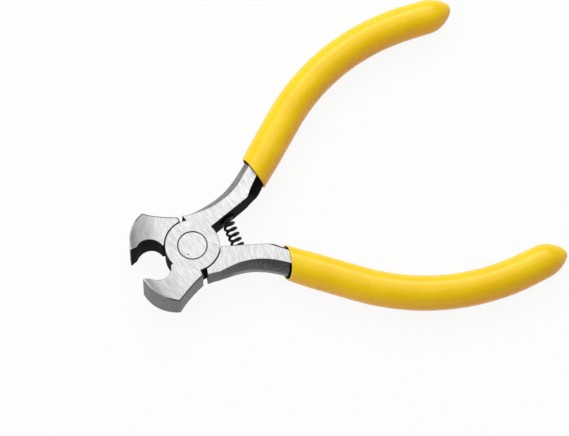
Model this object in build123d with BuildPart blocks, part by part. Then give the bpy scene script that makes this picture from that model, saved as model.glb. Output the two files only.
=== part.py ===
from build123d import *
from math import cos, pi, radians, sin, sqrt
import os

# Seed sheller pliers: small end nippers with a lap joint, a coil spring between the
# handles and a soft sleeve on each handle. Lengths are in millimetres.
# Both levers come from one forging: the rear one is the front one turned over about
# its long axis. The forging is drawn as it lies when the tool is shut. X runs from the
# pivot towards the handles, Y across the tool and Z along the pivot, and the underside
# of the joint is at zero.

# The joint
joint_thickness = 8.2
disc_radius = 7.2
disc_gap = 0.2
open_angle = 30.8

# The rivet
rivet_radius = 2.6
rivet_head_radius = 3.9
rivet_fit = 0.05
rivet_rim = 0.12
countersink_angle = 90

# The jaw, whose heel and bevel are set back from its cutting edge
jaw_reach = 16.3
jaw_width = 12.4
edge_relief = 0.03
heel_setback = 4.2
heel_drop = 10.5
heel_round = 0.5
nose_radius = 11.3
nose_edge_break = 0.3
jaw_back_hollow = 0.3
jaw_shoulder_reach = 2.8
jaw_web = 1.0
shoulder_round = 0.5
bevel_setback = 1.7
bevel_drop = 0.9
throat_drop = 2.95
throat_wall = 0.5
throat_end_angle = 7
flare_gap = 1.1

# The neck, from its shoulder at the joint to the mouth of the sleeve
shoulder_reach = 3.0
neck_web = 0.75
shoulder_belly = 0.2
waist_reach = 13.0
waist_rise = 5.85
belly = 1.6
neck_depth = 1.2
spring_flat_rise = 1.2
kink_reach = 19.2
kink_rise = 1.8
kink_face = 4.7
kink_angle = 16
mouth_reach = 25.2
mouth_rise = 6.93
mouth_face = 3.8
mouth_belly = 1.2
mouth_thickness = 7.1
taper_reach = 12.0
neck_end_length = 2.5

# The line of the handle inside its sleeve, and the tail that follows it
grip_angle = 24.3
grip_length = 18.7
grip_bend_radius = 58.4
grip_bend_angle = 44.5
grip_end_length = 4.6
tail_width = 5.2
tail_thickness = 5.6

# The sleeves. The front one stops beyond the mouth of the neck and the rear one short of it.
front_mouth_gap = 1.0
rear_mouth_lap = 1.1
socket_fit = 0.14
socket_wall = 0.5
socket_length = 4.0
tail_fit = 0.1
lip_break = 0.15
tip_nose_radius = 2.5
tip_angle = 50
tip_steps = 3

# The spring and its blind seats
spring_reach = 11.7
spring_radius = 1.35
spring_turns = 8
spring_end_gap = 0.27
wire_radius = 0.35
wire_sides = 6
seat_fit = 0.55
seat_depth = 1.75

# Cuts run past the metal by this much
overrun = 2.0

lap = joint_thickness / 2
bore_radius = rivet_radius + rivet_fit
countersink_radius = rivet_head_radius + rivet_fit
recess_radius = disc_radius + disc_gap
heading = radians(grip_angle)
turn = radians(open_angle / 2)

# The jaw and the shoulders stand round the recess for the other lever's disc
heel_reach = jaw_reach - heel_setback
bevel_reach = jaw_reach - bevel_setback
jaw_shoulder_drop = recess_radius + jaw_web
shoulder_rise = recess_radius + neck_web
throat_end_radius = recess_radius + throat_wall
throat_reach = (throat_end_radius + bevel_reach) / 2
flare_start = recess_radius + flare_gap
flare = (jaw_width - joint_thickness) / 2
flare_radius = ((jaw_reach - flare_start) ** 2 + flare**2) / (2 * flare)

# The sleeve's socket goes round the end of the neck
socket_radius = sqrt(mouth_face**2 + mouth_thickness**2) / 2 + socket_fit
sleeve_radius = socket_radius + socket_wall
front_mouth_reach = mouth_reach + front_mouth_gap
rear_mouth_reach = mouth_reach - rear_mouth_lap

# The closed tip of a sleeve follows a wide arc, and then a small round nose
tip_turn = radians(tip_angle)
tip_radius = (sleeve_radius - tip_nose_radius * cos(tip_turn)) / (1 - cos(tip_turn))
tip_length = tip_radius * sin(tip_turn) + tip_nose_radius * (1 - sin(tip_turn))

# Each seat meets the spring's line at half its depth, and the spring fills both seats
flat_slope = (kink_rise - spring_flat_rise) / (kink_reach - disc_radius)
flat_start = spring_flat_rise - disc_radius * flat_slope
seat_radius = spring_radius + wire_radius + seat_fit
seat_reach = (spring_reach + (flat_start + seat_depth / 2) * sin(turn)) / (
    cos(turn) - flat_slope * sin(turn)
)
seat_rise = flat_start + seat_reach * flat_slope + seat_depth
spring_rise = (
    seat_rise + (spring_reach + spring_radius) * sin(turn) - wire_radius - spring_end_gap
) / cos(turn)
spring_pitch = 2 * spring_rise / spring_turns

mid_plane = Plane.XY.offset(lap)
side_plane = Plane(origin=(0, 0, lap), x_dir=(1, 0, 0), z_dir=(0, -1, 0))
seat_plane = Plane(origin=(seat_reach, seat_rise, lap), x_dir=(1, 0, 0), z_dir=(0, -1, 0))
front_place = Plane(origin=(0, 0, 0), x_dir=(cos(turn), sin(turn), 0), z_dir=(0, 0, 1))
rear_place = Plane(
    origin=(0, 0, joint_thickness), x_dir=(cos(turn), -sin(turn), 0), z_dir=(0, 0, -1)
)


def across(reach, rise, angle):
    # A plane square to the handle: its X points outwards and its Y along the pivot.
    return Plane(
        origin=(reach, rise, lap),
        x_dir=(-sin(radians(angle)), cos(radians(angle)), 0),
        z_dir=(cos(radians(angle)), sin(radians(angle)), 0),
    )


def barrel_side(half_height, bulge, height):
    # How far a barrel side stands out: nothing at half_height, bulge at mid thickness.
    radius = (half_height**2 + bulge**2) / (2 * bulge)
    return bulge - radius + sqrt(radius**2 - height**2)


# The line of the handle inside its sleeve, from short of the mouth to the end
with BuildLine(mid_plane) as grip_line:
    line_start = (
        mouth_reach - sleeve_radius * cos(heading),
        mouth_rise - sleeve_radius * sin(heading),
    )
    first_run = PolarLine(line_start, sleeve_radius + grip_length, grip_angle)
    bend = JernArc(first_run @ 1, first_run % 1, grip_bend_radius, -grip_bend_angle)
    end_run = Line(bend @ 1, (bend @ 1) + (bend % 1) * grip_end_length)
    line_plane = Plane(origin=first_run @ 0, x_dir=(0, 0, 1), z_dir=first_run % 0)
    bore_end_plane = Plane(origin=end_run @ 1, x_dir=(0, 0, 1), z_dir=end_run % 1)
    tip_plane = Plane(origin=end_run @ 1, x_dir=(0, 0, 1), z_dir=-bore_end_plane.y_dir)

with BuildPart() as forging:
    # The neck is forged with barrel-shaped sides, a little thicker than it is ground
    neck_end = across(
        mouth_reach + neck_end_length * cos(heading),
        mouth_rise + neck_end_length * sin(heading),
        grip_angle,
    )
    neck_stations = (
        (across(shoulder_reach, 0, 0), lap, -neck_depth, shoulder_rise, shoulder_belly),
        (across(waist_reach, 0, 0), lap, -neck_depth, waist_rise, belly),
        (across(kink_reach, kink_rise, kink_angle), lap, 0, kink_face, belly),
        (neck_end, mouth_thickness / 2, -mouth_face / 2, mouth_face / 2, mouth_belly),
    )
    for plane, half_height, inner, outer, bulge in neck_stations:
        top = half_height + overrun / 2
        inset = barrel_side(half_height, bulge, top)
        with BuildSketch(plane) as neck_section:
            with BuildLine() as neck_outline:
                Line((inner - inset, top), (outer + inset, top))
                ThreePointArc((outer + inset, top), (outer + bulge, 0), (outer + inset, -top))
                Line((outer + inset, -top), (inner - inset, -top))
                ThreePointArc((inner - inset, -top), (inner - bulge, 0), (inner - inset, top))
            make_face()
    loft()

    # The inner side is milled flat from the joint to the kink
    with BuildSketch(mid_plane) as spring_flat:
        with BuildLine() as flat_outline:
            flat_end = kink_reach + mouth_face
            Polyline(
                (0, flat_start),
                (flat_end, flat_start + flat_end * flat_slope),
                (flat_end, -disc_radius),
                (0, -disc_radius),
                close=True,
            )
        make_face()
    extrude(amount=jaw_width, both=True, mode=Mode.SUBTRACT)

    # The jaw: a curved nose, a heel, a hollow back and the throat
    with BuildSketch(mid_plane) as jaw_plan:
        with BuildLine() as jaw_outline:
            cutting_edge = (-jaw_reach, -edge_relief)
            heel = (-heel_reach, -heel_drop)
            jaw_shoulder = (-jaw_shoulder_reach, -jaw_shoulder_drop)
            bevel_end = (-bevel_reach, -bevel_drop)
            throat_end = (
                -throat_end_radius * cos(radians(throat_end_angle)),
                -throat_end_radius * sin(radians(throat_end_angle)),
            )
            RadiusArc(cutting_edge, heel, -nose_radius)
            SagittaArc(heel, jaw_shoulder, jaw_back_hollow)
            Line(jaw_shoulder, (0, 0))
            Line((0, 0), throat_end)
            ThreePointArc(throat_end, (-throat_reach, -throat_drop), bevel_end)
            Line(bevel_end, cutting_edge)
        make_face()
        heel_corner = jaw_plan.vertices().sort_by(Axis.Y)[0]
        fillet(heel_corner, heel_round)
        shoulder_corner = jaw_plan.vertices().sort_by_distance((*jaw_shoulder, lap))[0]
        fillet(shoulder_corner, shoulder_round)
    extrude(amount=jaw_width / 2, both=True)

    # Both faces are ground: they flare to the cutting edge and taper to the sleeve
    with BuildSketch(side_plane) as side_profile:
        with BuildLine() as side_outline:
            far_left = -jaw_reach - overrun
            far_right = mouth_reach + neck_end_length + overrun
            Line((far_left, 0), (far_left, jaw_width / 2))
            Line((far_left, jaw_width / 2), (-jaw_reach, jaw_width / 2))
            RadiusArc((-jaw_reach, jaw_width / 2), (-flare_start, lap), -flare_radius)
            Line((-flare_start, lap), (taper_reach, lap))
            Line((taper_reach, lap), (mouth_reach, mouth_thickness / 2))
            Line((mouth_reach, mouth_thickness / 2), (far_right, mouth_thickness / 2))
            Line((far_right, mouth_thickness / 2), (far_right, 0))
            mirror(about=Plane.XZ)
        make_face()
    extrude(amount=mouth_reach, both=True, mode=Mode.INTERSECT)

    # The disc of the lap joint, and the round recess for the other lever's disc
    with BuildSketch(mid_plane) as disc:
        Circle(disc_radius)
    extrude(amount=lap)
    with BuildSketch(mid_plane) as recess:
        Circle(recess_radius)
    extrude(amount=-lap - overrun, mode=Mode.SUBTRACT)

    # The tail that carries the sleeve
    with BuildSketch(line_plane) as tail_section:
        Rectangle(tail_thickness, tail_width)
    sweep(path=grip_line.wire())

    # The rivet's hole and countersink, and the blind seat of the spring
    with Locations((0, 0, joint_thickness)):
        CounterSinkHole(bore_radius, countersink_radius, counter_sink_angle=countersink_angle)
    with BuildSketch(seat_plane) as seat:
        Circle(seat_radius)
    extrude(amount=seat_depth + overrun, mode=Mode.SUBTRACT)

    # The polished break along the outer edges of the nose
    nose_edges = (
        forging.edges()
        .filter_by(lambda edge: edge.center().X < -heel_reach)
        .filter_by(lambda edge: edge.center().Y < -throat_drop)
        .filter_by(lambda edge: abs(edge.center().Z - lap) > lap)
    )
    chamfer(nose_edges, nose_edge_break)

# One sleeve, made longer than it is at its mouth, where each grip is trimmed
with BuildPart() as sleeve:
    with BuildSketch(line_plane) as sleeve_section:
        Circle(sleeve_radius)
    sweep(path=grip_line.wire())
    with BuildSketch(tip_plane) as tip_profile:
        with BuildLine() as tip_outline:
            tip_points = []
            for step in range(tip_steps + 1):
                step_turn = tip_turn * step / tip_steps
                step_radius = sleeve_radius - tip_radius * (1 - cos(step_turn))
                tip_points.append((step_radius, tip_radius * sin(step_turn)))
            Polyline(*tip_points)
            RadiusArc(tip_points[-1], (0, tip_length), -tip_nose_radius)
            Polyline((0, tip_length), (0, 0), tip_points[0])
        make_face()
    revolve(axis=Axis(end_run @ 1, end_run % 1))
    with BuildSketch(line_plane) as sleeve_bore:
        Rectangle(tail_thickness + 2 * tail_fit, tail_width + 2 * tail_fit)
    sweep(path=grip_line.wire(), mode=Mode.SUBTRACT)
    with BuildSketch(bore_end_plane) as bore_end:
        Rectangle(tail_thickness + 2 * tail_fit, tail_width + 2 * tail_fit)
    extrude(amount=tail_fit, mode=Mode.SUBTRACT)
    with BuildSketch(line_plane) as socket:
        Circle(socket_radius)
    extrude(amount=sleeve_radius + socket_length, mode=Mode.SUBTRACT)

with BuildPart() as front_lever:
    with Locations(front_place.location):
        add(forging.part)

with BuildPart() as rear_lever:
    with Locations(rear_place.location):
        add(forging.part)

with BuildPart() as front_grip:
    with Locations(front_place.location):
        add(sleeve.part)
    front_mouth = front_place.from_local_coords((front_mouth_reach, 0, 0))
    split(bisect_by=Plane(origin=front_mouth, z_dir=front_place.x_dir), keep=Keep.TOP)
    front_lips = front_grip.edges().group_by(Axis((0, 0, 0), front_place.x_dir))[0]
    chamfer(front_lips.sort_by(SortBy.LENGTH)[-1], lip_break)

with BuildPart() as rear_grip:
    with Locations(rear_place.location):
        add(sleeve.part)
    rear_mouth = rear_place.from_local_coords((rear_mouth_reach, 0, 0))
    split(bisect_by=Plane(origin=rear_mouth, z_dir=rear_place.x_dir), keep=Keep.TOP)
    rear_lips = rear_grip.edges().group_by(Axis((0, 0, 0), rear_place.x_dir))[0]
    chamfer(rear_lips.sort_by(SortBy.LENGTH)[-1], lip_break)

# The rivet is set tight in the rear lever and runs free in the front one. Its rims are
# broken, and both heads are ground flush.
with BuildPart() as pivot_rivet:
    with BuildSketch(Plane.XZ) as rivet_profile:
        with BuildLine() as rivet_outline:
            Polyline(
                (0, 0),
                (countersink_radius - 2 * rivet_rim, 0),
                (countersink_radius - rivet_rim, rivet_rim),
                (bore_radius, countersink_radius - bore_radius),
                (bore_radius, lap),
                (rivet_radius, lap),
                (rivet_radius, joint_thickness - rivet_head_radius + rivet_radius),
                (rivet_head_radius - rivet_rim, joint_thickness - rivet_rim),
                (rivet_head_radius - 2 * rivet_rim, joint_thickness),
                (0, joint_thickness),
                close=True,
            )
        make_face()
    revolve(axis=Axis.Z)


# The spring: right-handed turns about a line along Y, made of tangent arcs
def wire_point(angle):
    return Vector(
        spring_reach + spring_radius * cos(angle),
        spring_pitch * angle / (2 * pi) - spring_rise,
        lap - spring_radius * sin(angle),
    )


def wire_heading(angle):
    climb = spring_pitch / (2 * pi)
    return Vector(-spring_radius * sin(angle), climb, -spring_radius * cos(angle)).normalized()


with BuildPart() as return_spring:
    with BuildLine() as spring_line:
        wire_end = wire_heading(0) * 2 * wire_radius
        last_angle = 2 * pi * spring_turns
        Line(wire_point(0) - wire_end, wire_point(0))
        for half_turn in range(2 * spring_turns):
            angles = half_turn * pi, (half_turn + 1) * pi
            start, end = (wire_point(angle) for angle in angles)
            leave, arrive = (wire_heading(angle) for angle in angles)
            chord = end - start
            along = chord.dot(leave + arrive)
            spread = 2 * (1 - leave.dot(arrive))
            reach = (sqrt(along**2 + spread * chord.dot(chord)) - along) / spread
            middle = (start + leave * reach + end - arrive * reach) / 2
            across_middle = (end - arrive * reach) - (start + leave * reach)
            TangentArc(start, middle, tangent=leave)
            TangentArc(middle, end, tangent=across_middle)
        Line(wire_point(last_angle), wire_point(last_angle) + wire_end)
    wire_plane = Plane(origin=spring_line.wire() @ 0, x_dir=(1, 0, 0), z_dir=wire_heading(0))
    with BuildSketch(wire_plane) as wire_section:
        RegularPolygon(wire_radius, wire_sides, rotation=180 / wire_sides)
    sweep(path=spring_line.wire())

# The spring's least gap to itself, measured between points at least half a turn apart
steps_per_turn = 48
wire_points = [
    wire_point(2 * pi * step / steps_per_turn) for step in range(steps_per_turn * spring_turns + 1)
]
least_gap = min(
    (wire_points[first] - wire_points[second]).length
    for first in range(len(wire_points))
    for second in range(first + steps_per_turn // 2, len(wire_points))
) - 2 * wire_radius
print(f"spring: {spring_turns} turns, least gap between turns {least_gap:.3f} mm")

os.makedirs("parts", exist_ok=True)
front_lever.part.label = "front_lever"
export_step(front_lever.part, "parts/front_lever.step")
rear_lever.part.label = "rear_lever"
export_step(rear_lever.part, "parts/rear_lever.step")
pivot_rivet.part.label = "pivot_rivet"
export_step(pivot_rivet.part, "parts/pivot_rivet.step")
return_spring.part.label = "return_spring"
export_step(return_spring.part, "parts/return_spring.step")
front_grip.part.label = "front_grip"
export_step(front_grip.part, "parts/front_grip.step")
rear_grip.part.label = "rear_grip"
export_step(rear_grip.part, "parts/rear_grip.step")
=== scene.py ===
from math import cos, pi, radians, sin

import bmesh
import bpy
from mathutils import Matrix, Vector, noise


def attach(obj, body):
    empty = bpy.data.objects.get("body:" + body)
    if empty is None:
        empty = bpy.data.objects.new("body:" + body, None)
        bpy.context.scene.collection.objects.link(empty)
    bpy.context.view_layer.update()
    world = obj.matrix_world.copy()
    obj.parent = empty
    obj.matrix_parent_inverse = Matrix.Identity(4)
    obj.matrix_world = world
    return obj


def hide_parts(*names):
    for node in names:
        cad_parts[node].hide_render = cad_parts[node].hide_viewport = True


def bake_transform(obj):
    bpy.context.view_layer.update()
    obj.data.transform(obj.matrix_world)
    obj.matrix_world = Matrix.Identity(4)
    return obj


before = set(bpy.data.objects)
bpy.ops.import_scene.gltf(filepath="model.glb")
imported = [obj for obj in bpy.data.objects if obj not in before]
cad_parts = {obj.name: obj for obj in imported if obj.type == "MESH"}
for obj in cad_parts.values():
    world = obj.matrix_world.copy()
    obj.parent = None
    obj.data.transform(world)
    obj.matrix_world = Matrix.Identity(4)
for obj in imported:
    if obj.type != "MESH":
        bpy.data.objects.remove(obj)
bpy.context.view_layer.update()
print("stage: the frame is loaded")

mm = 0.001
jointThickness = 8.2 * mm
halfOpen = radians(15.4)  # each lever stands this far from the line between them

# Each lever's own directions: along runs to its handle, across points out of the tool,
# and lapSide is the way along the pivot to the face that has the other lever's disc in it
frontWay = {
    "along": (cos(halfOpen), sin(halfOpen), 0),
    "across": (-sin(halfOpen), cos(halfOpen), 0),
    "lapSide": -1.0,
}
rearWay = {
    "along": (cos(halfOpen), -sin(halfOpen), 0),
    "across": (-sin(halfOpen), -cos(halfOpen), 0),
    "lapSide": 1.0,
}


def newGroup(name, inputs, outputs):
    tree = bpy.data.node_groups.new(name, "ShaderNodeTree")
    for socketName, kind, value in inputs:
        socket = tree.interface.new_socket(socketName, in_out="INPUT", socket_type=kind)
        socket.default_value = value
    for socketName, kind in outputs:
        tree.interface.new_socket(socketName, in_out="OUTPUT", socket_type=kind)
    return tree, tree.nodes.new("NodeGroupInput"), tree.nodes.new("NodeGroupOutput")


def put(tree, kind, links=None, **settings):
    # One node: settings are its own properties, and links name its sockets
    node = tree.nodes.new(kind)
    for key, value in settings.items():
        setattr(node, key, value)
    for key, value in (links or {}).items():
        if isinstance(value, bpy.types.NodeSocket):
            tree.links.new(value, node.inputs[key])
        else:
            node.inputs[key].default_value = value
    return node


def putGroup(tree, group, links):
    node = tree.nodes.new("ShaderNodeGroup")
    node.node_tree = group
    for key, value in links.items():
        node.inputs[key].default_value = value
    return node.outputs


def maths(tree, operation, *values, clamp=False):
    links = dict(enumerate(values))
    return put(tree, "ShaderNodeMath", links, operation=operation, use_clamp=clamp).outputs[0]


def dot(tree, first, second):
    node = put(tree, "ShaderNodeVectorMath", {0: first, 1: second}, operation="DOT_PRODUCT")
    return node.outputs["Value"]


def fromPivot(tree, place):
    # How far a place lies from the line of the pivot
    links = {0: place, 1: (1, 1, 0)}
    flat = put(tree, "ShaderNodeVectorMath", links, operation="MULTIPLY").outputs[0]
    return put(tree, "ShaderNodeVectorMath", {0: flat}, operation="LENGTH").outputs["Value"]


def smoothStep(tree, value, low, high):
    links = {"Value": value, "From Min": low, "From Max": high}
    node = put(tree, "ShaderNodeMapRange", links, interpolation_type="SMOOTHSTEP")
    return node.outputs["Result"]


def mottle(tree, place, scale, detail):
    links = {"Vector": place, "Scale": scale, "Detail": detail}
    return put(tree, "ShaderNodeTexNoise", links).outputs["Fac"]


def mixColour(tree, share, first, second):
    links = {"Factor": share, 6: first, 7: second}
    return put(tree, "ShaderNodeMix", links, data_type="RGBA").outputs[2]


def mixValue(tree, share, first, second):
    return put(tree, "ShaderNodeMix", {0: share, 2: first, 3: second}).outputs[0]


def newMaterial(name):
    material = bpy.data.materials.new(name)
    material.use_nodes = True
    tree = material.node_tree
    return material, tree, tree.nodes["Principled BSDF"]


grindingGrain = {
    "fine": {"Scale": 1.0, "Detail": 3.0, "Roughness": 0.65},
    "broad": {"Scale": 0.27, "Detail": 2.0, "Roughness": 0.5},
    "fineShare": 0.9,
    "broadShare": 0.1,
    "contrast": (0.36, 0.64),
}


def makeGrainGroup():
    # Fine lines left by the grinding belt, which run across the lever
    inputs = [
        ("Along", "NodeSocketVector", (1, 0, 0)),
        ("Across", "NodeSocketVector", (0, 1, 0)),
        ("Line Pitch", "NodeSocketFloat", 0.3 * mm),
        ("Line Length", "NodeSocketFloat", 6 * mm),
    ]
    tree, start, end = newGroup("grindingGrain", inputs, [("Lines", "NodeSocketFloat")])
    place = put(tree, "ShaderNodeTexCoord").outputs["Object"]
    sockets = start.outputs
    rows = maths(tree, "DIVIDE", dot(tree, place, sockets["Along"]), sockets["Line Pitch"])
    runs = maths(tree, "DIVIDE", dot(tree, place, sockets["Across"]), sockets["Line Length"])
    depth = put(tree, "ShaderNodeSeparateXYZ", {0: place}).outputs["Z"]
    layers = maths(tree, "DIVIDE", depth, sockets["Line Length"])
    laid = put(tree, "ShaderNodeCombineXYZ", {"X": rows, "Y": runs, "Z": layers}).outputs[0]
    fineLinks = {"Vector": laid, **grindingGrain["fine"]}
    fine = put(tree, "ShaderNodeTexNoise", fineLinks).outputs["Fac"]
    broadLinks = {"Vector": laid, **grindingGrain["broad"]}
    broad = put(tree, "ShaderNodeTexNoise", broadLinks).outputs["Fac"]
    fine = maths(tree, "MULTIPLY", fine, grindingGrain["fineShare"])
    broad = maths(tree, "MULTIPLY", broad, grindingGrain["broadShare"])
    both = maths(tree, "ADD", fine, broad)
    tree.links.new(smoothStep(tree, both, *grindingGrain["contrast"]), end.inputs["Lines"])
    return tree


# Where each zone of a lever begins and where it is full. Reach is counted from the pivot
# towards the handle, level is the share of the normal that points along the pivot, and
# height is counted from the middle of the joint
leverZones = {
    "jawReach": (-1 * mm, -2 * mm),
    "noseReach": (-8 * mm, -9 * mm),
    "darkNoseReach": (-7 * mm, -12 * mm),
    "slitReach": (4 * mm, 3 * mm),
    "slitEnd": (-4.5 * mm, -3.5 * mm),
    "trimmedReach": (8 * mm, 11 * mm),
    "neckLevel": (0.93, 0.96),
    "jawLevel": (0.77, 0.8),
    "flareLevel": (0.95, 0.92),
    "flatLevel": (0.92, 0.98),
    "ledgeLevel": (0.9, 0.95),
    "wallLevel": (0.5, 0.3),
    "faceHeight": (3 * mm, 3.1 * mm),
    "trimmedHeight": (1.2 * mm, 0.5 * mm),
    "slitLean": (0.6, 0.8),
    "innerLean": (-0.2, -0.4),
    "rimDistance": (-0.35 * mm, -0.15 * mm),
    "discDistance": (7.6 * mm, 7.5 * mm),
    "sideChange": 1 * mm,
}


def makeZoneGroup():
    # Which faces of a lever are ground, which of them get a painted highlight where they flare at
    # the nose or painted shade near it, which walls get painted shade, as in the slits, round the discs,
    # on the inner side and under the sleeve's rim, which part is the jaw, and where the flash of the
    # forging was trimmed
    zones = leverZones
    inputs = [
        ("Along", "NodeSocketVector", (1, 0, 0)),
        ("Across", "NodeSocketVector", (0, 1, 0)),
        ("Rim Way", "NodeSocketVector", (1, 0, 0)),
        ("Rim Reach", "NodeSocketFloat", 26 * mm),
    ]
    outputs = [
        ("Ground", "NodeSocketFloat"),
        ("Painted Highlight", "NodeSocketFloat"),
        ("Painted Shade", "NodeSocketFloat"),
        ("Jaw", "NodeSocketFloat"),
        ("Nose Shade", "NodeSocketFloat"),
        ("Trimmed", "NodeSocketFloat"),
    ]
    tree, start, end = newGroup("leverZones", inputs, outputs)
    coordinates = put(tree, "ShaderNodeTexCoord").outputs
    place = coordinates["Object"]
    normal = coordinates["Normal"]
    level = maths(tree, "ABSOLUTE", put(tree, "ShaderNodeSeparateXYZ", {0: normal}).outputs["Z"])
    reach = dot(tree, place, start.outputs["Along"])
    height = put(tree, "ShaderNodeSeparateXYZ", {0: place}).outputs["Z"]
    middle = maths(tree, "ABSOLUTE", maths(tree, "SUBTRACT", height, jointThickness / 2))
    jaw = smoothStep(tree, reach, *zones["jawReach"])
    # The ground faces lie at the lever's full height, and the jaw's flare leans
    low = mixValue(tree, jaw, zones["neckLevel"][0], zones["jawLevel"][0])
    full = mixValue(tree, jaw, zones["neckLevel"][1], zones["jawLevel"][1])
    high = maths(tree, "MAXIMUM", jaw, smoothStep(tree, middle, *zones["faceHeight"]))
    ground = maths(tree, "MULTIPLY", smoothStep(tree, level, low, full), high)
    nose = smoothStep(tree, reach, *zones["noseReach"])
    # Painted highlight: the rims of the ground faces that flare at the nose
    polished = maths(tree, "MULTIPLY", nose, smoothStep(tree, level, *zones["flareLevel"]))
    polished = maths(tree, "MULTIPLY", polished, ground)
    # Painted shade: the flat ground faces darken towards the nose
    darkNose = smoothStep(tree, reach, *zones["darkNoseReach"])
    darkNose = maths(tree, "MULTIPLY", darkNose, smoothStep(tree, level, *zones["flatLevel"]))
    # The slits beside the joint, the rims of the discs and their recesses get painted shade
    lengthwise = maths(tree, "ABSOLUTE", dot(tree, normal, start.outputs["Along"]))
    slit = smoothStep(tree, lengthwise, *zones["slitLean"])
    slit = maths(tree, "MULTIPLY", slit, smoothStep(tree, reach, *zones["slitReach"]))
    slit = maths(tree, "MULTIPLY", slit, smoothStep(tree, reach, *zones["slitEnd"]))
    discWall = smoothStep(tree, fromPivot(tree, place), *zones["discDistance"])
    discWall = maths(tree, "MULTIPLY", discWall, smoothStep(tree, level, *zones["wallLevel"]))
    dark = maths(tree, "MAXIMUM", slit, discWall)
    # The shade under the sleeve's rim, the inner side, and the tail's top beside the neck
    toRim = dot(tree, place, start.outputs["Rim Way"])
    toRim = maths(tree, "SUBTRACT", toRim, start.outputs["Rim Reach"])
    dark = maths(tree, "MAXIMUM", dark, smoothStep(tree, toRim, *zones["rimDistance"]))
    side = maths(tree, "SIGN", maths(tree, "ADD", reach, zones["sideChange"]))
    outward = maths(tree, "MULTIPLY", dot(tree, normal, start.outputs["Across"]), side)
    dark = maths(tree, "MAXIMUM", dark, smoothStep(tree, outward, *zones["innerLean"]))
    ledge = smoothStep(tree, level, *zones["ledgeLevel"])
    ledge = maths(tree, "MULTIPLY", ledge, maths(tree, "SUBTRACT", 1.0, high))
    dark = maths(tree, "MAXIMUM", dark, ledge)
    trimmed = smoothStep(tree, middle, *zones["trimmedHeight"])
    trimmed = maths(tree, "MULTIPLY", trimmed, smoothStep(tree, reach, *zones["trimmedReach"]))
    tree.links.new(ground, end.inputs["Ground"])
    tree.links.new(polished, end.inputs["Painted Highlight"])
    tree.links.new(dark, end.inputs["Painted Shade"])
    tree.links.new(jaw, end.inputs["Jaw"])
    tree.links.new(darkNose, end.inputs["Nose Shade"])
    tree.links.new(trimmed, end.inputs["Trimmed"])
    return tree


edgeLean = (0.004, 0.05)  # how far the normal leans where the band begins and is full


def makeEdgeGroup():
    # A band beside sharp edges, found from how far a rounded normal leans from the real one
    inputs = [("Width", "NodeSocketFloat", 0.25 * mm)]
    tree, start, end = newGroup("edgeBand", inputs, [("Edge", "NodeSocketFloat")])
    rounded = put(tree, "ShaderNodeBevel", {"Radius": start.outputs["Width"]}, samples=6).outputs[0]
    real = put(tree, "ShaderNodeNewGeometry").outputs["Normal"]
    lean = maths(tree, "SUBTRACT", 1.0, dot(tree, rounded, real))
    tree.links.new(smoothStep(tree, lean, *edgeLean), end.inputs["Edge"])
    return tree


def makeRingGroup():
    # A fine line round the pivot, where oil and dust sit in the joint between two parts
    inputs = [
        ("Radius", "NodeSocketFloat", 4 * mm),
        ("Half Width", "NodeSocketFloat", 0.1 * mm),
    ]
    tree, start, end = newGroup("jointLine", inputs, [("Line", "NodeSocketFloat")])
    place = put(tree, "ShaderNodeTexCoord").outputs["Object"]
    distance = fromPivot(tree, place)
    away = maths(tree, "ABSOLUTE", maths(tree, "SUBTRACT", distance, start.outputs["Radius"]))
    share = maths(tree, "DIVIDE", away, start.outputs["Half Width"])
    tree.links.new(smoothStep(tree, share, 1.0, 0.5), end.inputs["Line"])
    return tree


grainGroup = makeGrainGroup()
zoneGroup = makeZoneGroup()
edgeGroup = makeEdgeGroup()
ringGroup = makeRingGroup()

leverSteel = {
    "groundBright": (0.58, 0.58, 0.59, 1),
    "groundDark": (0.42, 0.42, 0.43, 1),
    # The painted shade of the ground faces towards the nose
    "nose": (0.25, 0.25, 0.255, 1),
    # A painted highlight along the nose's rim, near white
    "polished": (0.95, 0.95, 0.96, 1),
    "trimmed": (0.24, 0.24, 0.24, 1),
    "jawSide": (0.19, 0.19, 0.198, 1),
    "jawSideDark": (0.12, 0.12, 0.124, 1),
    # Painted shade along the sharp edges of the walls and the rims of the ground faces
    "paintedEdgeShade": (0.03, 0.03, 0.03, 1),
    "seam": (0.03, 0.03, 0.03, 1),
    # The near black of painted shade, for the slits, disc walls, inner side and under the sleeve's rim
    "inner": (0.004, 0.004, 0.0042, 1),
    "linePitch": 0.22 * mm,
    "lineLength": 2.4 * mm,
    "edgeWidth": 0.2 * mm,
    "rimWidth": 0.35 * mm,
    "pitScale": 1500.0,
    "seamRadius": 7.45 * mm,
    "rivetRadius": 3.9 * mm,
    "seamHalfWidth": 0.15 * mm,
    "seamDepth": (0, 1 * mm),
    "wornShare": (0.35, 0.65),
    "jawEdgeShare": 0.6,
    "noseShare": 0.6,
    "rimShare": 0.8,
    "forgedRoughness": 0.5,
    "innerRoughness": 0.7,
    "groundRoughness": (0.45, 0.34),
    "shine": 0.04,
    "reliefStrength": 0.15,
    "reliefDepth": 0.02 * mm,
}


def makeGroundSteel(tree, way):
    # The lines' mask and the colour of a ground face, with the dark line round the rivet
    links = {
        "Along": way["along"],
        "Across": way["across"],
        "Line Pitch": leverSteel["linePitch"],
        "Line Length": leverSteel["lineLength"],
    }
    lines = putGroup(tree, grainGroup, links)["Lines"]
    colour = mixColour(tree, lines, leverSteel["groundDark"], leverSteel["groundBright"])
    links = {"Radius": leverSteel["rivetRadius"], "Half Width": leverSteel["seamHalfWidth"]}
    ring = putGroup(tree, ringGroup, links)["Line"]
    return lines, mixColour(tree, ring, colour, leverSteel["seam"])


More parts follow.
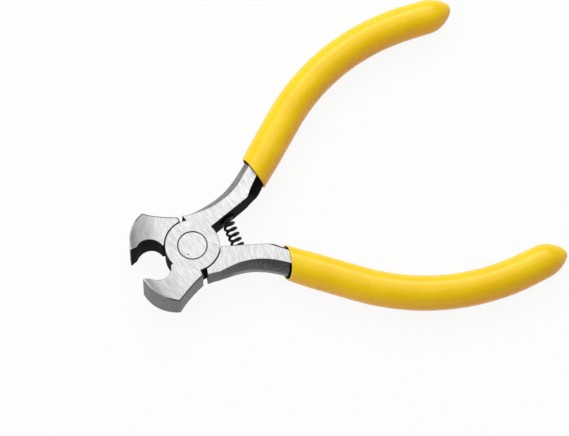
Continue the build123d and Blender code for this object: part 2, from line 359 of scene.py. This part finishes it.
def makeLeverSteel(name, way, neck):
    steel = leverSteel
    material, tree, shader = newMaterial(name)
    zoneLinks = {
        "Along": way["along"],
        "Across": way["across"],
        "Rim Way": Vector(way["along"]) + Vector((0, 0, neck["rimSlope"])),
        "Rim Reach": neck["rimReach"],
    }
    zones = putGroup(tree, zoneGroup, zoneLinks)
    lines, ground = makeGroundSteel(tree, way)
    edge = putGroup(tree, edgeGroup, {"Width": steel["edgeWidth"]})["Edge"]
    place = put(tree, "ShaderNodeTexCoord").outputs["Object"]
    pitLinks = {"Vector": place, "Scale": steel["pitScale"], "Detail": 4.0, "Roughness": 0.6}
    pits = put(tree, "ShaderNodeTexNoise", pitLinks).outputs["Fac"]
    worn = smoothStep(tree, pits, *steel["wornShare"])
    # The walls: forged on the handle side, ground on the jaw, with painted shade along their edges
    # The forged colours are painted lighter on the front lever and darker on the rear, as painted light and
    # painted shade
    forged = mixColour(tree, worn, neck["forgedDark"], neck["forgedBright"])
    forged = mixColour(tree, zones["Trimmed"], forged, steel["trimmed"])
    forged = mixColour(tree, edge, forged, steel["paintedEdgeShade"])
    jawSide = mixColour(tree, lines, steel["jawSideDark"], steel["jawSide"])
    jawEdge = maths(tree, "MULTIPLY", edge, steel["jawEdgeShare"])
    jawSide = mixColour(tree, jawEdge, jawSide, steel["paintedEdgeShade"])
    sides = mixColour(tree, zones["Jaw"], forged, jawSide)
    # Painted shade: these walls are painted near black
    sides = mixColour(tree, zones["Painted Shade"], sides, steel["inner"])
    # The seam round the other lever's disc lies on the side where this lever is cut away
    height = put(tree, "ShaderNodeSeparateXYZ", {0: place}).outputs["Z"]
    depth = maths(tree, "SUBTRACT", height, jointThickness / 2)
    depth = maths(tree, "MULTIPLY", depth, way["lapSide"])
    seamLinks = {"Radius": steel["seamRadius"], "Half Width": steel["seamHalfWidth"]}
    seam = putGroup(tree, ringGroup, seamLinks)["Line"]
    seam = maths(tree, "MULTIPLY", seam, smoothStep(tree, depth, *steel["seamDepth"]))
    ground = mixColour(tree, seam, ground, steel["seam"])
    # Painted shade darkens the ground faces towards the nose
    nose = maths(tree, "MULTIPLY", zones["Nose Shade"], steel["noseShare"])
    ground = mixColour(tree, nose, ground, steel["nose"])
    # The rims of the ground faces get painted shade, and round the nose a painted highlight
    rim = putGroup(tree, edgeGroup, {"Width": steel["rimWidth"]})["Edge"]
    rim = maths(tree, "MULTIPLY", rim, steel["rimShare"])
    rimColour = mixColour(tree, zones["Painted Highlight"], steel["paintedEdgeShade"], steel["polished"])
    ground = mixColour(tree, rim, ground, rimColour)
    tree.links.new(mixColour(tree, zones["Ground"], sides, ground), shader.inputs["Base Color"])
    # Where painted shade lies the steel is made a dull non-metal, so it shows no reflection
    bare = maths(tree, "SUBTRACT", 1.0, zones["Painted Shade"])
    bare = maths(tree, "MAXIMUM", bare, zones["Ground"])
    tree.links.new(bare, shader.inputs["Metallic"])
    rough = mixValue(tree, lines, *steel["groundRoughness"])
    rough = mixValue(tree, zones["Ground"], steel["forgedRoughness"], rough)
    rough = mixValue(tree, bare, steel["innerRoughness"], rough)
    tree.links.new(rough, shader.inputs["Roughness"])
    shader.inputs["Specular IOR Level"].default_value = steel["shine"]
    relief = mixValue(tree, zones["Ground"], pits, lines)
    bumpLinks = {
        "Strength": steel["reliefStrength"],
        "Distance": steel["reliefDepth"],
        "Height": relief,
    }
    bump = put(tree, "ShaderNodeBump", bumpLinks)
    tree.links.new(bump.outputs["Normal"], shader.inputs["Normal"])
    return material


# The line of a handle as it lies when the tool is shut, with X along the tool
handleLine = {
    "mouth": Vector((25.2, 6.93)) * mm,
    "heading": radians(24.3),
    "firstRun": 18.7 * mm,
    "bendRadius": 58.4 * mm,
    "bendAngle": radians(44.5),
    "lastRun": 4.6 * mm,
}

# How each forging's neck differs from the drawn one, as pairs of reach and size in mm.
# The neck's centre line and its bend are in mm too.
# edge draws the ground faces' outer edge in, flank moves the whole outer side outwards,
# innerEdge draws the faces' inner edge outwards, and innerBelly fills the inner side
neckShape = {
    "mergeDistance": 0.001 * mm,
    "sharpAngle": radians(25),
    "faceLevel": 4.1 * mm,
    "mouthLevel": 3.55 * mm,
    "taperStart": 12 * mm,
    "discRadius": 7.5 * mm,
    "tailRun": 2.4 * mm,
    "tailWidth": 2.62 * mm,
    "tailLevel": 2.85 * mm,
    "firstReach": 3 * mm,
    "discClear": 0.1 * mm,
    "lastRun": 4 * mm,
    "innerReach": 19 * mm,
    "bendStart": 13,
    "bendLength": 11,
    "centreLine": [(0, 3.6), (13, 3.6), (18, 4.0), (22, 5.6), (26, 7.3), (30, 9.1)],
}
frontNeck = {
    "edge": [
        (3, 0), (4, 0.2), (6, 0.25), (8, 0.35), (10, 0.5),
        (14, 0.55), (16, 0.7), (20, 0.7), (22, 0.5), (28, 0.4),
    ],
    "flank": [(0, 0)],
    "outerBelly": [(13, 0), (25, 0.3), (28, 0.2)],
    "innerEdge": [(19, 0), (22, 0.35), (28, 0.35)],
    "innerBelly": [(20, 0), (22, 0.2), (23, 0.5), (24, 0.7), (26, 0.7), (28, 0.6)],
    # Painted light: the front forging's forged side is painted lighter than the rear's, where it faces the
    # light
    "forgedBright": (0.34, 0.34, 0.34, 1),
    "forgedDark": (0.2, 0.2, 0.2, 1),
    "rimSlope": 0.1,
    "rimReach": 26.61 * mm,
}
rearNeck = {
    "edge": [
        (4, -0.35), (6, -0.65), (8, -0.5), (12, -0.2), (14, 0),
        (16, 0.35), (18, 0.6), (20, 0.85), (24, 1.05), (28, 0.9),
    ],
    "flank": [(3, 0.15), (4, 0.3), (6, 0.6), (8, 0.55), (10, 0.35), (12, 0.15), (14, 0)],
    "outerBelly": [(13, 0), (25, 0.3), (28, 0.2)],
    "innerEdge": [(20, 0), (24, -0.35), (28, -0.3)],
    "innerBelly": [(19, 0), (22, 0.2), (28, 0.2)],
    # Painted shade: the rear forging's forged side is painted darker, where it is turned from the light
    "forgedBright": (0.14, 0.14, 0.14, 1),
    "forgedDark": (0.08, 0.08, 0.08, 1),
    "rimSlope": -0.26,
    "rimReach": 23.03 * mm,
}


def between(stops, place):
    # The size at this place, on straight lines from stop to stop, with both in mm
    if place <= stops[0][0]:
        return stops[0][1]
    for (low, first), (high, second) in zip(stops, stops[1:]):
        if place <= high:
            return first + (second - first) * (place - low) / (high - low)
    return stops[-1][1]


def bendNeck(point, way, neck):
    # Where a point of the drawn lever lies on the real forging. The disc, the jaw and the
    # tail keep their shape, because other pieces meet them
    shape = neckShape
    along, across = Vector(way["along"]), Vector(way["across"])
    reach, rise = point.dot(along), point.dot(across)
    level = abs(point.z - jointThickness / 2)
    heading = handleLine["heading"]
    away = Vector((reach, rise)) - handleLine["mouth"]
    run = away.x * cos(heading) + away.y * sin(heading)
    offset = away.y * cos(heading) - away.x * sin(heading)
    onTail = run > shape["tailRun"] and abs(offset) < shape["tailWidth"] and level < shape["tailLevel"]
    clear = Vector((reach, rise)).length - shape["discRadius"]
    if reach < shape["firstReach"] or clear < shape["discClear"] or onTail or run > shape["lastRun"]:
        return point
    place = reach / mm
    taperLength = handleLine["mouth"].x - shape["taperStart"]
    taper = min(max((reach - shape["taperStart"]) / taperLength, 0), 1)
    top = shape["faceLevel"] + (shape["mouthLevel"] - shape["faceLevel"]) * taper
    share = min(level / top, 1) ** 2
    if rise > between(shape["centreLine"], place) * mm:
        drawn = between(neck["edge"], place)
        if point.z < jointThickness / 2:
            drawn = max(drawn, 0)
        move = between(neck["flank"], place) - drawn * share
        move += between(neck["outerBelly"], place) * (1 - share)
    elif reach > shape["innerReach"]:
        move = between(neck["innerEdge"], place) * share
        move -= between(neck["innerBelly"], place) * (1 - share)
    else:
        return point
    turn = heading * min(max((place - shape["bendStart"]) / shape["bendLength"], 0), 1)
    return point + (across * cos(turn) - along * sin(turn)) * (move * mm)


def makeForging(name, nodeName, body, way, neck, material):
    # A lever's finished skin, which is the drawn lever with its neck as forged and ground
    work = bmesh.new()
    work.from_mesh(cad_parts[nodeName].data)
    bmesh.ops.remove_doubles(work, verts=work.verts, dist=neckShape["mergeDistance"])
    for vert in work.verts:
        vert.co = bendNeck(vert.co, way, neck)
    bmesh.ops.recalc_face_normals(work, faces=work.faces)
    mesh = bpy.data.meshes.new(name)
    work.to_mesh(mesh)
    work.free()
    # The drawn lever's own normals don't fit the bent neck
    if mesh.attributes.get("custom_normal"):
        mesh.attributes.remove(mesh.attributes["custom_normal"])
    mesh.shade_smooth()
    mesh.set_sharp_from_angle(angle=neckShape["sharpAngle"])
    mesh.materials.clear()
    mesh.materials.append(material)
    forging = bpy.data.objects.new(name, mesh)
    bpy.context.scene.collection.objects.link(forging)
    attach(forging, body)
    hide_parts(nodeName)


def dress(nodeName, material):
    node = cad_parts[nodeName]
    node.data.materials.clear()
    node.data.materials.append(material)


rivetSteel = {
    "pitPlace": (-1.96 * mm, -1.92 * mm, 8.2 * mm),
    "pitRadius": 0.27 * mm,
    "pitColour": (0.01, 0.01, 0.01, 1),
    "roughness": (0.45, 0.32),
    "reliefStrength": 0.2,
    "reliefDepth": 0.03 * mm,
}


def makeRivetSteel():
    material, tree, shader = newMaterial("groundSteelRivet")
    lines, colour = makeGroundSteel(tree, frontWay)
    place = put(tree, "ShaderNodeTexCoord").outputs["Object"]
    links = {0: place, 1: rivetSteel["pitPlace"]}
    away = put(tree, "ShaderNodeVectorMath", links, operation="DISTANCE").outputs["Value"]
    pit = smoothStep(tree, away, rivetSteel["pitRadius"], rivetSteel["pitRadius"] / 2)
    tree.links.new(mixColour(tree, pit, colour, rivetSteel["pitColour"]), shader.inputs["Base Color"])
    tree.links.new(mixValue(tree, lines, *rivetSteel["roughness"]), shader.inputs["Roughness"])
    shader.inputs["Metallic"].default_value = 1.0
    bumpLinks = {
        "Strength": rivetSteel["reliefStrength"],
        "Distance": rivetSteel["reliefDepth"],
        "Height": maths(tree, "SUBTRACT", lines, pit),
    }
    bump = put(tree, "ShaderNodeBump", bumpLinks)
    tree.links.new(bump.outputs["Normal"], shader.inputs["Normal"])
    return material


frontSteel = makeLeverSteel("groundSteelFront", frontWay, frontNeck)
rearSteel = makeLeverSteel("groundSteelRear", rearWay, rearNeck)
makeForging("front_forging", "front_lever", "front_half", frontWay, frontNeck, frontSteel)
makeForging("rear_forging", "rear_lever", "rear_half", rearWay, rearNeck, rearSteel)
dress("pivot_rivet", makeRivetSteel())
print("stage: the levers and the rivet have their finish")

gripSleeve = {
    "radius": 4.65 * mm,
    "socketRadius": 4.2 * mm,
    "socketDepth": 4.0 * mm,
    "boreRadius": 3.95 * mm,
    "tipRadius": 8.6 * mm,
    "tipAngle": radians(50),
    "noseRadius": 2.5 * mm,
    "taperLength": 18 * mm,
    "taper": 0.03,
    "tipLean": 0.55 * mm,
    "leanLength": 6 * mm,
    "ripple": 0.03 * mm,
    "rippleLength": 7 * mm,
    "sides": 64,
    "ringGap": 0.9 * mm,
    "tipRings": 10,
    "noseRings": 8,
    "boreRings": 40,
    "lipRings": 8,
    "boreClear": 0.1 * mm,
    "shadeDepth": 1.6 * mm,
    "rimRuns": (0.8 * mm, 1.6 * mm),
    "rimClear": 2.4 * mm,
    "slimLength": 9 * mm,
    "frontMouth": {"reach": 26.2 * mm, "slope": 0.1, "outerSlim": 0.5 * mm, "innerSlim": 0.25 * mm},
    "rearMouth": {"reach": 24.1 * mm, "slope": 0.26, "outerSlim": 0.35 * mm, "innerSlim": 0.2 * mm},
}


def handlePoint(run):
    # The point of the handle's line at this distance from its mouth, and its heading there
    heading = handleLine["heading"]
    radius = handleLine["bendRadius"]
    straight = handleLine["firstRun"]
    bendLength = radius * handleLine["bendAngle"]
    point = handleLine["mouth"] + Vector((cos(heading), sin(heading))) * min(run, straight)
    turned = min(max(run - straight, 0), bendLength) / radius
    point += Vector((
        radius * (sin(heading) - sin(heading - turned)),
        radius * (cos(heading - turned) - cos(heading)),
    ))
    rest = max(run - straight - bendLength, 0)
    last = heading - turned
    return point + Vector((cos(last), sin(last))) * rest, last


def sleeveProfile():
    # Outer rings from the lip to the tip, as the distance from the mouth and the radius
    size = gripSleeve
    bendLength = handleLine["bendRadius"] * handleLine["bendAngle"]
    body = handleLine["firstRun"] + bendLength + handleLine["lastRun"]
    rings = []
    count = int(body / size["ringGap"])
    for step in range(1, count + 1):
        rings.append((body * step / count, size["radius"]))
    wide = size["tipRadius"]
    nose = size["noseRadius"]
    for step in range(1, size["tipRings"] + 1):
        angle = size["tipAngle"] * step / size["tipRings"]
        rings.append((body + wide * sin(angle), size["radius"] - wide * (1 - cos(angle))))
    top = wide * sin(size["tipAngle"]) + nose * (1 - sin(size["tipAngle"]))
    for step in range(1, size["noseRings"]):
        angle = size["tipAngle"] + (pi / 2 - size["tipAngle"]) * step / size["noseRings"]
        rings.append((body + top - nose * (1 - sin(angle)), nose * cos(angle)))
    total = body + top
    tapered = []
    for run, radius in rings:
        share = min(max((size["taperLength"] - (total - run)) / size["taperLength"], 0), 1)
        tapered.append((run, radius * (1 - size["taper"] * share * share * (3 - 2 * share))))
    return tapered, body, total


def makeSleeve(name, nodeName, body, mouth, turnedOver, material):
    size = gripSleeve
    sides = size["sides"]
    profile, bodyLength, total = sleeveProfile()
    heading = handleLine["heading"]
    wall = (size["radius"] - size["socketRadius"]) / 2
    middle = size["socketRadius"] + wall
    verts, rows, inside = [], [], []

    def mouthRun(offset, height):
        # How far along the handle's line the plane of the mouth lies at this point of a ring
        reach = mouth["reach"] - mouth["slope"] * height
        return (reach - handleLine["mouth"].x + offset * sin(heading)) / cos(heading)

    def addRing(run, radius, slant=0.0, forward=0.0, dark=0.0):
        # slant 1 lays the ring in the plane of the mouth, and dark marks where the socket gets painted
        # shade
        row = []
        for side in range(sides):
            angle = 2 * pi * side / sides
            offset = radius * cos(angle)
            reach = run + (mouthRun(offset, radius * sin(angle)) + forward - run) * slant
            centre, turn = handlePoint(reach)
            spot = Vector((reach, offset, radius * sin(angle))) / size["rippleLength"]
            swell = size["ripple"] * noise.noise(spot)
            if radius < size["radius"] * 0.9:
                swell = 0
            lean = max(size["leanLength"] - (total - reach), 0) / size["leanLength"]
            near = min(max(1 - reach / size["slimLength"], 0), 1)
            slim = mouth["outerSlim"] if cos(angle) > 0 else mouth["innerSlim"]
            offset -= slim * near * near * cos(angle)
            offset += swell * cos(angle) + size["tipLean"] * lean * lean
            height = (radius + swell) * sin(angle)
            x = centre.x - sin(turn) * offset
            y = centre.y + cos(turn) * offset
            row.append(len(verts))
            verts.append((x, y, jointThickness / 2 + height))
            inside.append(dark)
        rows.append(row)

    angles = [pi * step / 16 for step in range(32)]
    farthest = max(mouthRun(size["radius"] * cos(a), size["radius"] * sin(a)) for a in angles)
    tailEnd = bodyLength + size["boreClear"]
    socketEnd = farthest + size["socketDepth"]
    for step in range(size["boreRings"] + 1):
        run = tailEnd + (socketEnd - tailEnd) * step / size["boreRings"]
        addRing(run, size["boreRadius"], dark=1)
    addRing(socketEnd, size["socketRadius"], dark=1)
    addRing(0, size["socketRadius"], 1, size["shadeDepth"], 1)
    addRing(0, size["socketRadius"], 1, 2 * wall, 0.6)
    for step in range(size["lipRings"] + 1):
        angle = pi * step / size["lipRings"]
        addRing(0, middle - wall * cos(angle), 1, wall * (1 - sin(angle)))
    for forward in size["rimRuns"]:
        addRing(0, size["radius"], 1, forward)
    for run, radius in profile:
        if run > farthest + size["rimClear"]:
            addRing(run, radius)
    faces = []
    for first, second in zip(rows, rows[1:]):
        for side in range(sides):
            other = (side + 1) % sides
            faces.append((first[side], first[other], second[other], second[side]))
    for row, run in ((rows[0], tailEnd), (rows[-1], total)):
        centre, turn = handlePoint(run)
        pole = len(verts)
        lean = size["tipLean"] if run == total else 0
        verts.append((centre.x - sin(turn) * lean, centre.y + cos(turn) * lean, jointThickness / 2))
        inside.append(inside[row[0]])
        for side in range(sides):
            faces.append((row[side], row[(side + 1) % sides], pole))
    mesh = bpy.data.meshes.new(name)
    mesh.from_pydata(verts, [], faces)
    mesh.attributes.new("inside", "FLOAT", "POINT").data.foreach_set("value", inside)
    if turnedOver:
        mesh.transform(Matrix.Translation((0, 0, jointThickness)) @ Matrix.Rotation(pi, 4, "X"))
        mesh.transform(Matrix.Rotation(-halfOpen, 4, "Z"))
    else:
        mesh.transform(Matrix.Rotation(halfOpen, 4, "Z"))
    work = bmesh.new()
    work.from_mesh(mesh)
    bmesh.ops.recalc_face_normals(work, faces=work.faces)
    work.to_mesh(mesh)
    work.free()
    mesh.shade_smooth()
    mesh.materials.append(material)
    sleeve = bpy.data.objects.new(name, mesh)
    bpy.context.scene.collection.objects.link(sleeve)
    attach(sleeve, body)
    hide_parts(nodeName)


gripVinyl = {
    "colour": (0.98, 0.65, 0.002, 1),
    "deepColour": (0.96, 0.6, 0.002, 1),
    # The deeper orange of the painted shade on the sleeves' side turned down and away
    "paintedShadeColour": (0.98, 0.44, 0.001, 1),
    "paintedShadeSide": (0.1, -0.75, -0.65),
    "speck": (0.3, 0.14, 0.005, 1),
    # Painted shade: the near black inside the sleeve's socket
    "inside": (0.02, 0.012, 0.003, 1),
    "scatter": 0.15,
    "scatterReach": (1.0, 0.35, 0.06),
    "scatterScale": 1.2 * mm,
    "shine": 0.36,
    "roughness": (0.22, 0.32),
    "cloudScale": 110.0,
    "cloudShare": (0.3, 0.7),
    "skinScale": 700.0,
    "skinStrength": 0.12,
    "skinDepth": 0.05 * mm,
    "dustScale": 1300.0,
    "dustShare": (0.8, 0.84),
    "paintedShadeShare": (-0.3, 0.7),
}


def makeGripVinyl():
    vinyl = gripVinyl
    material, tree, shader = newMaterial("dippedVinyl")
    coordinates = put(tree, "ShaderNodeTexCoord").outputs
    place = coordinates["Object"]
    cloud = mottle(tree, place, vinyl["cloudScale"], 3.0)
    skin = mottle(tree, place, vinyl["skinScale"], 2.0)
    dust = mottle(tree, place, vinyl["dustScale"], 1.0)
    inside = put(tree, "ShaderNodeAttribute", attribute_name="inside").outputs["Fac"]
    # Painted shade: faces turned down and away are painted a deeper orange
    shadeSideMask = dot(tree, coordinates["Normal"], vinyl["paintedShadeSide"])
    shadeSideMask = smoothStep(tree, shadeSideMask, *vinyl["paintedShadeShare"])
    deep = smoothStep(tree, cloud, *vinyl["cloudShare"])
    colour = mixColour(tree, deep, vinyl["deepColour"], vinyl["colour"])
    colour = mixColour(tree, shadeSideMask, colour, vinyl["paintedShadeColour"])
    specks = smoothStep(tree, dust, *vinyl["dustShare"])
    colour = mixColour(tree, specks, colour, vinyl["speck"])
    # The socket's inside is painted dark as shade
    colour = mixColour(tree, inside, colour, vinyl["inside"])
    tree.links.new(colour, shader.inputs["Base Color"])
    tree.links.new(mixValue(tree, cloud, *vinyl["roughness"]), shader.inputs["Roughness"])
    shader.inputs["Specular IOR Level"].default_value = vinyl["shine"]
    shader.inputs["Subsurface Weight"].default_value = vinyl["scatter"]
    shader.inputs["Subsurface Radius"].default_value = vinyl["scatterReach"]
    shader.inputs["Subsurface Scale"].default_value = vinyl["scatterScale"]
    bumpLinks = {"Strength": vinyl["skinStrength"], "Distance": vinyl["skinDepth"], "Height": skin}
    bump = put(tree, "ShaderNodeBump", bumpLinks)
    tree.links.new(bump.outputs["Normal"], shader.inputs["Normal"])
    return material


vinyl = makeGripVinyl()
makeSleeve("front_sleeve", "front_grip", "front_half", gripSleeve["frontMouth"], False, vinyl)
makeSleeve("rear_sleeve", "rear_grip", "rear_half", gripSleeve["rearMouth"], True, vinyl)
print("stage: the sleeves are drawn over the handles")

returnSpring = {
    "centre": Vector((11.63, 0, 4.1)) * mm,
    "radius": 1.42 * mm,
    "wire": 0.37 * mm,
    "turns": 8,
    "rise": 6.3 * mm,
    "stepsPerTurn": 40,
    "wireSides": 14,
    "darkOxide": (0.003, 0.003, 0.0035, 1),
    "paleOxide": (0.02, 0.02, 0.021, 1),
    "oxideScale": 2500.0,
    "roughness": (0.3, 0.45),
    "shine": 0.2,
}


def makeSpringWire():
    material, tree, shader = newMaterial("blackenedWire")
    place = put(tree, "ShaderNodeTexCoord").outputs["Object"]
    oxide = mottle(tree, place, returnSpring["oxideScale"], 3.0)
    colour = mixColour(tree, oxide, returnSpring["darkOxide"], returnSpring["paleOxide"])
    tree.links.new(colour, shader.inputs["Base Color"])
    tree.links.new(mixValue(tree, oxide, *returnSpring["roughness"]), shader.inputs["Roughness"])
    shader.inputs["Specular IOR Level"].default_value = returnSpring["shine"]
    return material


def makeSpringTree(material):
    tree = bpy.data.node_groups.new("coilSpring", "GeometryNodeTree")
    tree.interface.new_socket("Geometry", in_out="OUTPUT", socket_type="NodeSocketGeometry")
    sizes = [
        ("Turns", "NodeSocketFloat", returnSpring["turns"]),
        ("Coil Radius", "NodeSocketFloat", returnSpring["radius"]),
        ("Wire Radius", "NodeSocketFloat", returnSpring["wire"]),
        ("Free Length", "NodeSocketFloat", 2 * returnSpring["rise"]),
    ]
    for socketName, kind, value in sizes:
        socket = tree.interface.new_socket(socketName, in_out="INPUT", socket_type=kind)
        socket.default_value = value
    start = tree.nodes.new("NodeGroupInput").outputs
    end = tree.nodes.new("NodeGroupOutput")
    coilLinks = {
        "Resolution": returnSpring["stepsPerTurn"],
        "Rotations": start["Turns"],
        "Start Radius": start["Coil Radius"],
        "End Radius": start["Coil Radius"],
        "Height": start["Free Length"],
        "Reverse": True,
    }
    coil = put(tree, "GeometryNodeCurveSpiral", coilLinks).outputs[0]
    turn = (-pi / 2, 0, 0)
    laid = put(tree, "GeometryNodeTransform", {"Geometry": coil, "Rotation": turn}).outputs[0]
    ringLinks = {"Resolution": returnSpring["wireSides"], "Radius": start["Wire Radius"]}
    ring = put(tree, "GeometryNodeCurvePrimitiveCircle", ringLinks).outputs[0]
    wireLinks = {"Curve": laid, "Profile Curve": ring, "Fill Caps": True}
    wire = put(tree, "GeometryNodeCurveToMesh", wireLinks).outputs[0]
    smooth = put(tree, "GeometryNodeSetShadeSmooth", {"Geometry": wire}).outputs[0]
    real = put(tree, "GeometryNodeRealizeInstances", {"Geometry": smooth}).outputs[0]
    finished = put(tree, "GeometryNodeSetMaterial", {"Geometry": real, "Material": material})
    tree.links.new(finished.outputs[0], end.inputs[0])
    return tree


def makeReturnSpring():
    blank = bpy.data.meshes.new("springBlank")
    maker = bpy.data.objects.new("springMaker", blank)
    bpy.context.scene.collection.objects.link(maker)
    modifier = maker.modifiers.new("coil", "NODES")
    modifier.node_group = makeSpringTree(makeSpringWire())
    bpy.context.view_layer.update()
    evaluated = maker.evaluated_get(bpy.context.evaluated_depsgraph_get())
    mesh = bpy.data.meshes.new_from_object(evaluated)
    bpy.data.objects.remove(maker)
    reach = Vector((0, returnSpring["rise"], 0))
    mesh.transform(Matrix.Translation(returnSpring["centre"] - reach))
    mesh.name = "coil_spring"
    spring = bpy.data.objects.new("coil_spring", mesh)
    bpy.context.scene.collection.objects.link(spring)
    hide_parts("return_spring")
    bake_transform(spring)


makeReturnSpring()
print("stage: the spring is wound")

studio = {
    "floorRadius": 1.25,
    "rimRadius": 0.15,
    "rimHeight": 0.2,
    "floorColour": (0.8, 0.8, 0.8, 1),
    "floorGlow": 0.92,
    "jawFoot": Vector((-15.3, 0, -2.13)) * mm,
    "gripFoot": Vector((92.0, 0, -0.56)) * mm,
    "skyStrength": 0.25,
}

# Each softbox hangs at its place, faces where it looks, and shines as brightly all over
softboxes = {
    "topSoftbox": {"place": (-0.5, 1.0, 1.3), "look": (-0.5, 1.0, 0), "size": (3.4, 2.4), "radiance": 1.25},
    "backSoftbox": {"place": (0.39, 0.965, 0.937), "look": (0, 0, 0), "size": (1.0, 0.6), "radiance": 3.2},
    "sideSoftbox": {"place": (-1.2, -0.43, 0.42), "look": (0, 0, 0), "size": (0.5, 0.3), "radiance": 3.0},
}


def makeFloor():
    # The floor leans by under a degree, so that the jaws and the sleeves' ends lie on it,
    # and its rim curves up into a low white wall
    foot, heel = studio["jawFoot"], studio["gripFoot"]
    slope = (heel.z - foot.z) / (heel.x - foot.x)
    base = foot.z - foot.x * slope
    bend = studio["rimRadius"]
    profile = [(studio["floorRadius"], 0)]
    for step in range(1, 13):
        angle = pi / 2 * step / 12
        profile.append((studio["floorRadius"] + bend * sin(angle), bend * (1 - cos(angle))))
    profile.append((studio["floorRadius"] + bend, bend + studio["rimHeight"]))
    count = 96
    verts = [(0, 0, base)]
    for radius, rise in profile:
        for side in range(count):
            angle = 2 * pi * side / count
            x = radius * cos(angle)
            verts.append((x, radius * sin(angle), base + x * slope + rise))
    faces = [(0, 1 + side, 1 + (side + 1) % count) for side in range(count)]
    for ring in range(len(profile) - 1):
        low = 1 + ring * count
        high = low + count
        for side in range(count):
            other = (side + 1) % count
            faces.append((low + side, high + side, high + other, low + other))
    mesh = bpy.data.meshes.new("floor")
    mesh.from_pydata(verts, [], faces)
    mesh.shade_smooth()
    floor = bpy.data.objects.new("floor", mesh)
    bpy.context.scene.collection.objects.link(floor)
    material = bpy.data.materials.new("paleFloor")
    material.use_nodes = True
    tree = material.node_tree
    tree.nodes.clear()
    output = tree.nodes.new("ShaderNodeOutputMaterial")
    paint = put(tree, "ShaderNodeBsdfDiffuse", {"Color": studio["floorColour"]}).outputs[0]
    glow = put(tree, "ShaderNodeEmission", {"Strength": 1.0}).outputs[0]
    rays = put(tree, "ShaderNodeLightPath").outputs
    seen = maths(tree, "ADD", rays["Is Camera Ray"], rays["Is Glossy Ray"])
    seen = maths(tree, "ADD", seen, rays["Is Transmission Ray"], clamp=True)
    share = maths(tree, "MULTIPLY", seen, studio["floorGlow"])
    blend = put(tree, "ShaderNodeMixShader", {0: share, 1: paint, 2: glow}).outputs[0]
    tree.links.new(blend, output.inputs["Surface"])
    mesh.materials.append(material)


def makeSoftbox(name, spec):
    lamp = bpy.data.lights.new(name, "AREA")
    lamp.shape = "RECTANGLE"
    lamp.size, lamp.size_y = spec["size"]
    lamp.energy = spec["radiance"] * pi * lamp.size * lamp.size_y
    box = bpy.data.objects.new(name, lamp)
    place = Vector(spec["place"])
    turn = (Vector(spec["look"]) - place).to_track_quat("-Z", "Y").to_matrix().to_4x4()
    box.matrix_world = Matrix.Translation(place) @ turn
    box.visible_camera = False
    bpy.context.scene.collection.objects.link(box)


def makeLight():
    world = bpy.data.worlds.new("studioSky")
    world.use_nodes = True
    background = world.node_tree.nodes["Background"]
    background.inputs["Color"].default_value = (1, 1, 1, 1)
    background.inputs["Strength"].default_value = studio["skyStrength"]
    bpy.context.scene.world = world
    for name, spec in softboxes.items():
        makeSoftbox(name, spec)


photoCamera = {
    "place": (-0.13754, -0.34859, 0.98831),
    "right": (0.92116, -0.38887, 0.0156),
    "up": (0.35709, 0.86046, 0.36345),
    "back": (-0.15476, -0.32922, 0.93148),
    "lens": 253.1,
}


def makeCamera():
    data = bpy.data.cameras.new("photoCamera")
    data.lens = photoCamera["lens"]
    data.clip_start = 0.05
    data.clip_end = 20.0
    camera = bpy.data.objects.new("photoCamera", data)
    turned = Matrix((photoCamera["right"], photoCamera["up"], photoCamera["back"])).transposed()
    camera.matrix_world = Matrix.Translation(photoCamera["place"]) @ turned.to_4x4()
    bpy.context.scene.collection.objects.link(camera)
    bpy.context.scene.camera = camera


makeFloor()
makeLight()
makeCamera()
bpy.context.scene.view_settings.view_transform = "Standard"
print("stage: floor, light and camera are set")
